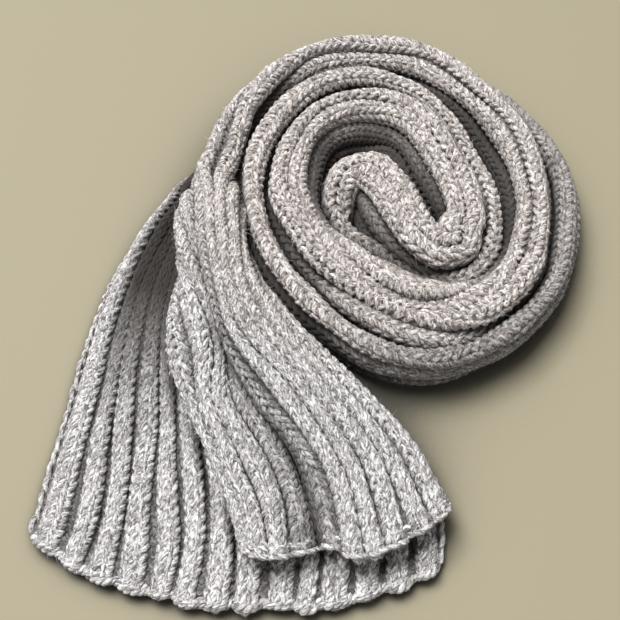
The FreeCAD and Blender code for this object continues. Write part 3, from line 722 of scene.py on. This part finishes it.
def rope(path, normals, lead, swing, radius, offset, phase, seed):
    """One strand of a two-strand rope along a path."""
    lengths = path_lengths(path)
    count = max(int(lengths[-1] / lead * 9), 8)
    at = np.linspace(0, lengths[-1], count)
    centre = along_path(path, lengths, at)
    up = unit(along_path(normals, lengths, at))
    side = np.cross(unit(np.gradient(centre, axis=0)), up)
    turn = 2 * math.pi * at / lead + phase + 0.8 * waves(seed, 7, 40.0, 1.0, at, 0.0)
    reach = swing * (1 + 0.25 * waves(seed + 1, 7, 12.0, 1.0, at, 0.0))
    points = centre + side * (reach * np.cos(turn))[:, None] + up * (reach * np.sin(turn))[:, None]
    radii = radius * (1 + 0.10 * waves(seed + 2, 7, 9.0, 1.0, at, 0.0))
    k = np.arange(count)
    taper = np.minimum(1.0, np.minimum(k, count - 1 - k) / 2.0 + 0.25)
    return sweep(points[None], up[None], (radii * taper)[None], offset=offset)


def backing_sheet(band, row0, row1, rib0, rib1):
    """A thin closed sheet inside the knitting that stops light passing between yarns, coloured
    dark as painted shade.
    """
    half_thickness = 0.5
    row_step, rib_step = 2, 4                          # in surface samples
    i0, i1 = row0 * ROW_SAMPLES, row1 * ROW_SAMPLES
    j0, j1 = rib0 * RIB_SAMPLES, rib1 * RIB_SAMPLES
    rows_at = np.unique(np.concatenate([np.arange(i0, i1 + 1, row_step), [i1]]))
    ribs_at = np.unique(np.concatenate([np.arange(j0, j1 + 1, rib_step), [j1]]))
    patch = np.ix_(rows_at, ribs_at)
    normals = band.normals[patch]
    rib = RIB_GRID[ribs_at][None, :]
    raised = 0.75 * band.closed[patch] * ramp(rib_distance(rib), 0.15, 0.30)
    middle = band.surface[patch] + normals * raised[..., None]
    held = (rib >= band.first_rib[rows_at] - 0.1) & (rib <= band.last_rib[rows_at] + 0.1)
    cells = held[:-1, :-1] & held[1:, :-1] & held[:-1, 1:] & held[1:, 1:]
    height, width = middle.shape[:2]
    under = height * width                             # index offset of the lower face
    index = np.arange(under).reshape(height, width)
    quads = np.stack([index[:-1, :-1], index[:-1, 1:], index[1:, 1:], index[1:, :-1]],
                     axis=2)[cells]
    faces = [quads[:, ::-1], quads + under]
    # walls where a held cell meets an empty one: edges along the rows' axis, then the ribs'
    padded = np.pad(cells, 1)
    for before, after, di, dj in ((padded[:, :-1], padded[:, 1:], 1, 0),
                                  (padded[:-1], padded[1:], 0, 1)):
        i, j = np.nonzero(before != after)
        start, end = index[i - di, j - dj], index[i, j]
        wall = np.stack([start, end, end + under, start + under], axis=1)
        flipped = before[i, j] == bool(di)
        wall[flipped] = wall[flipped][:, ::-1]
        faces.append(wall)
    vertices = np.concatenate([(middle + normals * half_thickness).reshape(-1, 3),
                               (middle - normals * half_thickness).reshape(-1, 3)])
    # painted shade: the sheet is darker than the yarn, and darker still under the band's painted
    # shade
    shade = darken(0.46, np.clip(band.shade[patch], 0, 1))
    return vertices, np.concatenate(faces), vertices * 0.9, np.tile(shade.ravel(), 2)


def loose_fibres(yarn, count, seed):
    """Short flat fibres of two quads standing off the yarns."""
    rng = np.random.default_rng(seed)
    lines, samples = yarn.points.shape[:2]
    line = rng.integers(0, lines, count)
    k = rng.integers(1, samples - 1, count)
    keep = (yarn.visible[line, k] & yarn.visible[line, k + 1]
            & (yarn.normals[line, k, 2] > -0.35))
    line, k = line[keep], k[keep]
    kept = len(line)
    tangent, side, up = yarn_frame(yarn.points[line, k + 1] - yarn.points[line, k - 1],
                                   yarn.normals[line, k])
    turn = rng.normal(0, 0.8, kept)
    out = side * np.sin(turn)[:, None] + up * np.cos(turn)[:, None]
    root = yarn.points[line, k] + out * (yarn.radii[line, k] * 0.9)[:, None]
    outward = rng.uniform(0.25, 0.9, kept)[:, None]
    forward = (rng.choice([-1, 1], kept) * rng.uniform(0.5, 1.0, kept))[:, None]
    heading = unit(out * outward + tangent * forward + rng.normal(0, 0.35, (kept, 3)))
    bend = rng.normal(0, 0.45, (kept, 3)) + tangent * 0.2
    length = rng.uniform(1.4, 3.6, kept)[:, None]
    middle = root + heading * length * 0.5
    tip = middle + (heading + bend) * length * 0.45
    flat = unit(np.cross(heading, rng.normal(0, 1, (kept, 3))))
    flat = flat * (0.05 * rng.uniform(0.7, 1.3, kept)[:, None])    # half the fibre's width
    vertices = np.stack([root - flat, root + flat, middle - flat * 0.8, middle + flat * 0.8,
                         tip - flat * 0.3, tip + flat * 0.3], axis=1)
    vertices[..., 2] = np.maximum(vertices[..., 2], 0.1)
    base = np.arange(kept)[:, None] * 6
    quads = np.stack([base + np.array([0, 1, 3, 2]), base + np.array([2, 3, 5, 4])], axis=1)
    yarn_at = np.repeat(rng.uniform(0, 900, (kept, 3)), 6, axis=0)
    # painted shade: each fibre takes the painted shade of the yarn at its root
    shade = np.repeat(yarn.shade[line, k], 6)
    return vertices.reshape(-1, 3), quads.reshape(-1, 4), yarn_at, shade


def used_only(vertices, quads, yarn_at, shade):
    """Drop the vertices no face uses."""
    used = np.zeros(len(vertices), bool)
    used[quads.ravel()] = True
    renumbered = np.cumsum(used) - 1
    return vertices[used], renumbered[quads], yarn_at[used], shade[used]


def make_object(name, parts, material):
    """One mesh object from parts, with its yarn coordinates, painted shade and warmth as
    attributes.
    """
    parts = [used_only(*part) for part in parts]
    starts = np.cumsum([0] + [len(part[0]) for part in parts])
    points = np.concatenate([part[0] for part in parts])
    quads = np.concatenate([part[1] + start for part, start in zip(parts, starts)])
    mesh = bpy.data.meshes.new(name)
    mesh.vertices.add(len(points))
    mesh.vertices.foreach_set("co", to_frame(points).astype(np.float32).ravel())
    mesh.loops.add(len(quads) * 4)
    mesh.loops.foreach_set("vertex_index", quads.astype(np.int32).ravel())
    mesh.polygons.add(len(quads))
    mesh.polygons.foreach_set("loop_start", np.arange(0, len(quads) * 4, 4, dtype=np.int32))
    mesh.polygons.foreach_set("loop_total", np.full(len(quads), 4, np.int32))
    mesh.update(calc_edges=True)
    mesh.polygons.foreach_set("use_smooth", np.full(len(quads), True))
    from_centre = np.hypot(*(points[:, :2] - ROLL_CENTRE).T)
    for label, kind, field, values in (
            ("yarn", "FLOAT_VECTOR", "vector", np.concatenate([part[2] for part in parts])),
            # the kind attribute holds the painted shade, 0 light to 1 dark
            ("kind", "FLOAT", "value", np.concatenate([part[3] for part in parts])),
            ("warm", "FLOAT", "value", 1 - ramp(from_centre, 70, 110))):
        attribute = mesh.attributes.new(label, kind, "POINT")
        attribute.data.foreach_set(field, values.astype(np.float32).ravel())
    mesh.materials.append(material)
    made = bpy.data.objects.new(name, mesh)
    bpy.context.scene.collection.objects.link(made)
    return made


# ---------------------------------------------------------------- materials
def add_node(tree, kind, inputs=None, **settings):
    """A node with its settings; each input takes a value or a link from a socket."""
    node = tree.nodes.new(kind)
    for name, setting in settings.items():
        setattr(node, name, setting)
    for key, source in (inputs or {}).items():
        if isinstance(source, bpy.types.NodeSocket):
            tree.links.new(source, node.inputs[key])
        else:
            node.inputs[key].default_value = source
    return node


def attribute_node(tree, name):
    return add_node(tree, "ShaderNodeAttribute", attribute_name=name)


def mix_colours(tree, factor, first, second, blend="MULTIPLY"):
    mix = add_node(tree, "ShaderNodeMix", {0: factor, 6: first, 7: second},
                   data_type="RGBA", blend_type=blend)
    return mix.outputs[2]


def stretched_noise(tree, coordinates, stretch, scale, detail, roughness=0.6):
    mapping = add_node(tree, "ShaderNodeMapping", {"Scale": stretch, "Vector": coordinates})
    noise = add_node(tree, "ShaderNodeTexNoise", {
        "Scale": scale, "Detail": detail, "Roughness": roughness, "Vector": mapping.outputs[0]})
    return noise.outputs["Fac"]


def colour_ramp(tree, factor, stops):
    """A colour ramp through two or more stops (position, colour)."""
    node = add_node(tree, "ShaderNodeValToRGB", {"Fac": factor})
    elements = node.color_ramp.elements
    for element, (position, colour) in zip(elements, (stops[0], stops[-1])):
        element.position = position
        element.color = (*colour, 1)
    for position, colour in stops[1:-1]:
        elements.new(position).color = (*colour, 1)
    return node.outputs["Color"]


def openness(tree, samples, distance, from_min, from_max, to_min):
    """A factor from to_min to 1 by how little stands within the distance (metres), multiplied into
    a colour as painted shade.
    """
    occlusion = add_node(tree, "ShaderNodeAmbientOcclusion", {"Distance": distance},
                         samples=samples)
    near = add_node(tree, "ShaderNodeMapRange", {
        "From Min": from_min, "From Max": from_max, "To Min": to_min, "To Max": 1.0,
        "Value": occlusion.outputs["AO"]}, interpolation_type="SMOOTHSTEP")
    return near.outputs["Result"]


def yarn_material():
    """Heather yarn: fibre streaks and blotches, warmer in the roll, with painted shade where
    little light reaches.
    """
    light, mid, dark = (0.80, 0.80, 0.815), (0.33, 0.322, 0.322), (0.105, 0.097, 0.093)
    blotch_colour = (0.80, 0.77, 0.75)
    roll_tint = (1.0, 0.945, 0.905, 1)
    painted_shade_colour = (0.034, 0.029, 0.026, 1)
    material = bpy.data.materials.new("heather_yarn")
    material.use_nodes = True
    tree = material.node_tree
    tree.nodes.clear()
    coordinates = attribute_node(tree, "yarn").outputs["Vector"]
    kind = attribute_node(tree, "kind").outputs["Fac"]
    streak = stretched_noise(tree, coordinates, stretch=(0.22, 1.45, 1.45), scale=1.0,
                             detail=4.0, roughness=0.66)
    streaks = colour_ramp(tree, streak, [(0.38, dark), (0.48, mid), (0.62, light)])
    blotch = stretched_noise(tree, coordinates, stretch=(0.07, 0.2, 0.2), scale=1.0, detail=2.0)
    blotches = colour_ramp(tree, blotch, [(0.36, blotch_colour), (0.62, (1, 1, 1))])
    colour = mix_colours(tree, 1.0, streaks, blotches)
    warmth = attribute_node(tree, "warm").outputs["Fac"]
    colour = mix_colours(tree, warmth, colour, roll_tint)
    # painted shade: the kind attribute mixes the colour towards near black in grooves, recesses
    # and under loops
    colour = mix_colours(tree, kind, colour, painted_shade_colour, blend="MIX")
    # painted shade: the colour darkens where other fabric stands close
    near = openness(tree, samples=8, distance=0.020, from_min=0.08, from_max=0.54, to_min=0.42)
    colour = mix_colours(tree, 1.0, colour, near)
    fibre = stretched_noise(tree, coordinates, stretch=(0.22, 1.6, 1.6), scale=3.0, detail=3.0)
    relief = add_node(tree, "ShaderNodeBump",
                      {"Strength": 0.6, "Distance": 0.0006, "Height": fibre})
    surface = add_node(tree, "ShaderNodeBsdfPrincipled", {
        "Base Color": colour, "Roughness": 0.78, "Specular IOR Level": 0.14,
        "Sheen Weight": 0.12, "Sheen Roughness": 0.5, "Sheen Tint": (0.95, 0.93, 0.92, 1),
        "Normal": relief.outputs[0]})
    add_node(tree, "ShaderNodeOutputMaterial", {0: surface.outputs[0]})
    return material


def floor_material():
    """Pale matt floor with painted shadow, darker close to the scarf."""
    colour = (0.236, 0.211, 0.142, 1)
    material = bpy.data.materials.new("floor_pale")
    material.use_nodes = True
    tree = material.node_tree
    surface = tree.nodes["Principled BSDF"]
    surface.inputs["Base Color"].default_value = colour
    surface.inputs["Roughness"].default_value = 0.75
    # painted shadow: the floor colour darkens where the scarf stands close
    near = openness(tree, samples=12, distance=0.080, from_min=0.47, from_max=0.92, to_min=0.14)
    tree.links.new(mix_colours(tree, 1.0, colour, near), surface.inputs["Base Color"])
    return material


# ---------------------------------------------------------------- painted shade of the bands
SKY_OPEN, SKY_SHUT, SKY_DARKEST = 0.87, 0.39, 0.95     # openness where painted shade starts and is full
SKY_CELL = 1.5                                         # height map cell, mm
SKY_CORNER = (-180.0, -210.0)
SKY_COLUMNS, SKY_LINES = 220, 240
SKY_DIRECTIONS = 16
SKY_REACHES = (4.5, 7.0, 10.0, 14.0, 19.0, 25.0, 33.0, 43.0)


def shade_overlaps(upper, lower):
    """Painted shade: darken the upper end's valley, the lower half where the upper one covers it,
    the lower end a little towards its neck, and the lower half's outer turn where the upper half
    shades it.
    """
    row, rows_at = upper.row_grid[:, None], upper.station_rows
    flap_end = rows_at[len(UPPER_FLAP) - 1]
    fading = np.interp(row, [rows_at[0], flap_end], [1.0, 0.35])
    # painted shade in the upper end's valley
    valley = 0.84 * bump(RIB_GRID, 9.85, 0.50) + 0.40 * bump(RIB_GRID, 10.3, 1.0)
    upper.shade += valley * fading * ramp(row, flap_end, flap_end - 8)

    row, rows_at = lower.row_grid[:, None], lower.station_rows
    off_edge = ramp(RIBS - RIB_GRID, 0.35, 1.35)
    start, neck = rows_at[3], rows_at[len(LOWER_FLAP)]
    # painted shadow by the lower end's neck, beside and under the upper end
    lower.shade += (0.93 * off_edge * ramp(row, start, start + 0.74 * (neck - start))
                    * ramp(row, neck + 14, neck + 6))
    # painted shade, rising a little along the lower end towards its neck
    lower.shade += (0.18 * off_edge * ramp(row, rows_at[1], rows_at[6])
                    * (1 - lower.roll_share(row)))
    # painted shadow of the upper half on the lower half's outer turn
    starts, full, fades, ends = (rows_at[LOWER_AT[angle]] for angle in (68, 40, -86, -124))
    lower.shade += 0.42 * ramp(row, starts, full) * ramp(row, ends, fades)


def sky_cells(x, y):
    return (((y - SKY_CORNER[1]) / SKY_CELL).astype(int),
            ((x - SKY_CORNER[0]) / SKY_CELL).astype(int))


def height_map(bands):
    """Highest surface in each plan cell, widened by a cell all round."""
    top = np.zeros((SKY_LINES, SKY_COLUMNS))
    for band in bands:
        points = band.surface[band.held]
        np.maximum.at(top, sky_cells(points[:, 0], points[:, 1]), points[:, 2])
    padded = np.pad(top, 1)
    return np.max([padded[i:i + SKY_LINES, j:j + SKY_COLUMNS]
                   for i in range(3) for j in range(3)], axis=0)


def sky_view(band, top):
    """How much open sky each surface point sees, and how far it lies covered, both 0..1."""
    x, y, z = (band.surface[..., k] for k in range(3))

    def top_at(east, north):
        i, j = sky_cells(east, north)
        return top[np.clip(i, 0, SKY_LINES - 1), np.clip(j, 0, SKY_COLUMNS - 1)]

    seen, total = 0.0, 0.0
    for k in range(SKY_DIRECTIONS):
        turn = 2 * k * math.pi / SKY_DIRECTIONS
        cosine, sine = math.cos(turn), math.sin(turn)
        slope = np.zeros(x.shape)
        for reach in SKY_REACHES:
            height = top_at(x + reach * cosine, y + reach * sine)
            slope = np.maximum(slope, (height - z - 1.0) / reach)
        facing = band.normals[..., 0] * cosine + band.normals[..., 1] * sine
        weight = np.clip(band.normals[..., 2], 0, 1) * 0.6 + 0.02 + np.clip(facing, 0, 1)
        seen, total = seen + weight / (1 + slope * slope), total + weight
    return seen / total, ramp(top_at(x, y) - z, 4.0, 9.0)


def shade_by_sky(upper, lower):
    top = height_map((upper, lower))
    for band in (upper, lower):
        sky, covered = sky_view(band, top)
        # painted shade: the less open sky a point sees, the darker it is painted
        deep = SKY_DARKEST * ramp(sky, SKY_OPEN, SKY_SHUT)
        if band is lower:                              # its end gets painted shade only where it lies open
            flap_end = band.station_rows[len(LOWER_FLAP) - 1]
            deep = deep * (1 - covered * ramp(band.row_grid[:, None], flap_end, flap_end - 10))
        band.shade = darken(np.clip(band.shade, 0, 1), deep)


# ---------------------------------------------------------------- pieces
# A piece runs between two station numbers (None is the last row). It rides the frame part
# named by hold; where hold is a Blend, its transform is only baked in.
Piece = namedtuple("Piece", "name start end hold nodes edges rib0 rib1",
                   defaults=((), (), 0, RIBS))
Blend = namedtuple("Blend", "first second start end")

# a line across the lower end's corner, between two points, that sets the corner blend
CORNER_LINE = np.array([(-146.5, -122.0), (-106.5, -183.0)])
CORNER_REACH = 9.0      # half the distance between the corner blend's two points
RUN_X, RUN_Y = CORNER_LINE[1] - CORNER_LINE[0]
CORNER_OUT = np.array([RUN_Y, -RUN_X]) / math.hypot(RUN_X, RUN_Y) * CORNER_REACH
CORNER_MID = CORNER_LINE.sum(axis=0) / 2

TIP = Blend("upper_end", "upper_tip", (-40, -109, 20), (-40, -140, 20))
FOLD = Blend("ends", "upper_end", (-80, -42, 20), (-80, -68, 20))
NECK = Blend("roll_outer", "ends", (-87, 5, 20), (-87, -28, 20))
CORNER = Blend("ends", "lower_corner", (*(CORNER_MID - CORNER_OUT), 5),
               (*(CORNER_MID + CORNER_OUT), 5))
UPPER_INWARD = Blend("roll_outer", "roll_core", (20, 17, 15), (20, -15, 15))
LOWER_INWARD = Blend("roll_outer", "roll_core", (20, 38, 15), (20, -34, 15))


def roll_pieces(stations, half, cuts):
    """Pieces of the roll between angles: name, start angle, end angle, hold."""
    return [Piece(f"{half}_{name}_knit", stations[start], stations[end], hold,
                  (f"{half}_{name}",)) for name, start, end, hold in cuts]


UPPER_PIECES = [
    Piece("upper_tip_knit", 0, 1.9, TIP, ("upper_end_tip", "bind_off_edge"),
          ("left", "end", "right")),
    Piece("upper_panel_knit", 1.9, 3.9, TIP, ("upper_end_panel",), ("left", "right")),
    Piece("upper_fold_knit", 3.9, 6, FOLD, (), ("left",)),
    Piece("upper_neck_knit", 6, UPPER_AT[166], NECK, ("upper_end_neck",)),
    *roll_pieces(UPPER_AT, "upper", [
        ("turn_back", 166, 64, "roll_outer"), ("turn_right", 64, -38, "roll_outer"),
        ("turn_front", -38, -124, "roll_outer"), ("inner_left", -124, -204, "roll_outer"),
        ("inner_back", -204, -292, "roll_outer"), ("inner_right", -292, -389, UPPER_INWARD)]),
    Piece("centre_fold_knit", UPPER_AT[-389], None, "roll_core", ("centre_fold",)),
]
LOWER_PIECES = [
    Piece("lower_corner_knit", 0, 4, CORNER, ("lower_end_corner", "cast_on_edge"),
          ("left", "end"), rib0=7),
    Piece("lower_edge_knit", 0, 4, "ends", (), ("right", "end"), rib1=7),
    Piece("lower_middle_knit", 4, 6, "ends", ("lower_end_panel",), ("left", "right")),
    Piece("lower_neck_knit", 6, LOWER_AT[163], NECK, ("lower_end_neck",), ("left",)),
    *roll_pieces(LOWER_AT, "lower", [
        ("turn_back", 163, 68, "roll_outer"), ("turn_right", 68, -34, "roll_outer"),
        ("turn_front", -34, -124, "roll_outer"), ("inner_left", -124, -212, "roll_outer"),
        ("inner_back", -212, -288, "roll_outer"), ("inner_right", -288, -402, LOWER_INWARD)]),
    Piece("lower_core_knit", LOWER_AT[-402], None, "roll_core", ("lower_core_run",)),
]


def outset_line(band, rib, row, inner_rib, inner_row, push, lift):
    """A line on the surface, pushed away from an inner line and lifted; and its normals."""
    points, normals = band.at(rib, row)
    inner, _ = band.at(inner_rib, inner_row)
    return points + unit(points - inner) * push + normals * lift, normals


def side_line(band, row0, row1, rib):
    row = np.linspace(row0, row1, max(int((row1 - row0) * 6), 4))
    rib = np.full_like(row, rib)
    inner = rib + np.where(rib < RIBS / 2, 0.05, -0.05)
    return outset_line(band, rib, row, inner, row, push=0.3, lift=0.2)


def end_line(band, rib0, rib1, push, lift):
    rib = np.linspace(rib0, rib1, max(abs(rib1 - rib0) * 24, 8))
    row = np.zeros_like(rib)
    return outset_line(band, rib, row, rib, row + 0.3, push, lift)


def edge_trim(band, piece, row0, row1, edge, offset, seed):
    """Chains along the sides and the upper end, a rope along the lower end."""
    if edge != "end":
        line = side_line(band, row0, row1, RIBS if edge == "left" else 0)
        return [chain(*line, link=5.2, width=3.4, radius=1.15, offset=offset, seed=seed)]
    if piece in UPPER_PIECES:
        line = end_line(band, piece.rib1, piece.rib0, push=-0.7, lift=0.2)
        return [chain(*line, link=4.2, width=3.5, radius=1.2, offset=offset, seed=seed)]
    line = end_line(band, piece.rib0, piece.rib1, push=0.2, lift=0.3)
    return [rope(*line, lead=5.0, swing=1.0, radius=1.25, offset=offset + phase * 50,
                 phase=phase, seed=seed) for phase in (0.0, math.pi)]


def knit_piece(piece, band, seed, material):
    """Build a piece, attach it to the frame part it follows or bake its transform for a blend, and
    hide the parts it replaces.
    """
    row0, row1 = band.row_of(piece.start), band.row_of(piece.end)
    column0, column1 = piece.rib0 * STITCHES, piece.rib1 * STITCHES
    yarn = yarn_rows(band, row0, row1, column0, column1, seed)
    parts = [sweep(yarn.points, yarn.normals, yarn.radii, yarn.shade, yarn.visible,
                   offset=seed * 911.0),
             backing_sheet(band, row0, row1, piece.rib0, piece.rib1)]
    count = int((row1 - row0) * (column1 - column0) * FIBRES_PER_STITCH)
    parts.append(loose_fibres(yarn, count, seed + 50))
    for k, edge in enumerate(piece.edges):
        parts += edge_trim(band, piece, row0, row1, edge, seed * 31.0 + k, seed + k)
    made = make_object(piece.name, parts, material)
    hold = piece.hold
    if isinstance(hold, Blend):
        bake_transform(made)
    else:
        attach(made, hold)
    if piece.nodes:
        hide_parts(*piece.nodes)


def build_scarf():
    material = yarn_material()
    upper = Band(upper_stations(), UPPER_AT[166], heads=-1, seed=101, flap_relief=1.9,
                 scallop=0.4, wander=0.3, ease=[UPPER_AT[a] for a in (115, 76, -10, -50)])
    lower = Band(lower_stations(), LOWER_AT[163], heads=+1, seed=202, flap_relief=1.65,
                 scallop=0.7, wander=0.8, calm=(3, 7))
    shade_overlaps(upper, lower)
    shade_by_sky(upper, lower)
    for k, piece in enumerate(UPPER_PIECES):
        knit_piece(piece, upper, k + 1, material)
    for k, piece in enumerate(LOWER_PIECES, len(UPPER_PIECES)):
        knit_piece(piece, lower, k + 1, material)


# ---------------------------------------------------------------- stage, metres
def add_floor():
    bpy.ops.mesh.primitive_plane_add(size=6.0, location=(0, 0, -0.0002))
    floor = bpy.context.object
    floor.name = "floor"
    floor.data.materials.append(floor_material())


def add_camera():
    """In front of the scarf (-y), tilted 30 degrees from straight down."""
    lens = bpy.data.cameras.new("camera")
    camera = bpy.data.objects.new("camera", lens)
    bpy.context.scene.collection.objects.link(camera)
    lens.sensor_width = 36.0
    lens.lens = 46.92
    lens.clip_start = 0.01
    camera.location = tuple(to_frame([-43.8, -240.9, 315.0]))
    camera.rotation_euler = (math.radians(30.0), 0, 0)
    bpy.context.scene.camera = camera


def add_world():
    bpy.context.scene.view_settings.view_transform = "Standard"
    world = bpy.data.worlds.new("soft")
    bpy.context.scene.world = world
    world.use_nodes = True
    background = world.node_tree.nodes["Background"]
    background.inputs["Color"].default_value = (0.93, 0.96, 1.0, 1)
    background.inputs["Strength"].default_value = 0.15


def add_area_light(name, location, size, power, colour):
    """A square light aimed at the middle of the scarf."""
    light = bpy.data.lights.new(name, "AREA")
    light.shape = "SQUARE"
    light.size = size
    light.energy = power
    light.color = colour
    lamp = bpy.data.objects.new(name, light)
    bpy.context.scene.collection.objects.link(lamp)
    lamp.location = location
    aim = unit(np.array((0, 0, 0.02)) - np.array(lamp.location))
    lamp.rotation_euler = Vector(aim).to_track_quat("-Z", "Y").to_euler()


build_scarf()
add_floor()
add_camera()
add_world()
add_area_light("window", location=(-1.70, 1.60, 4.85), size=3.0, power=590.0,
               colour=(1.0, 0.995, 0.985))
add_area_light("fill", location=(0.6, -1.6, 1.5), size=1.6, power=17.0,
               colour=(1.0, 0.98, 0.95))
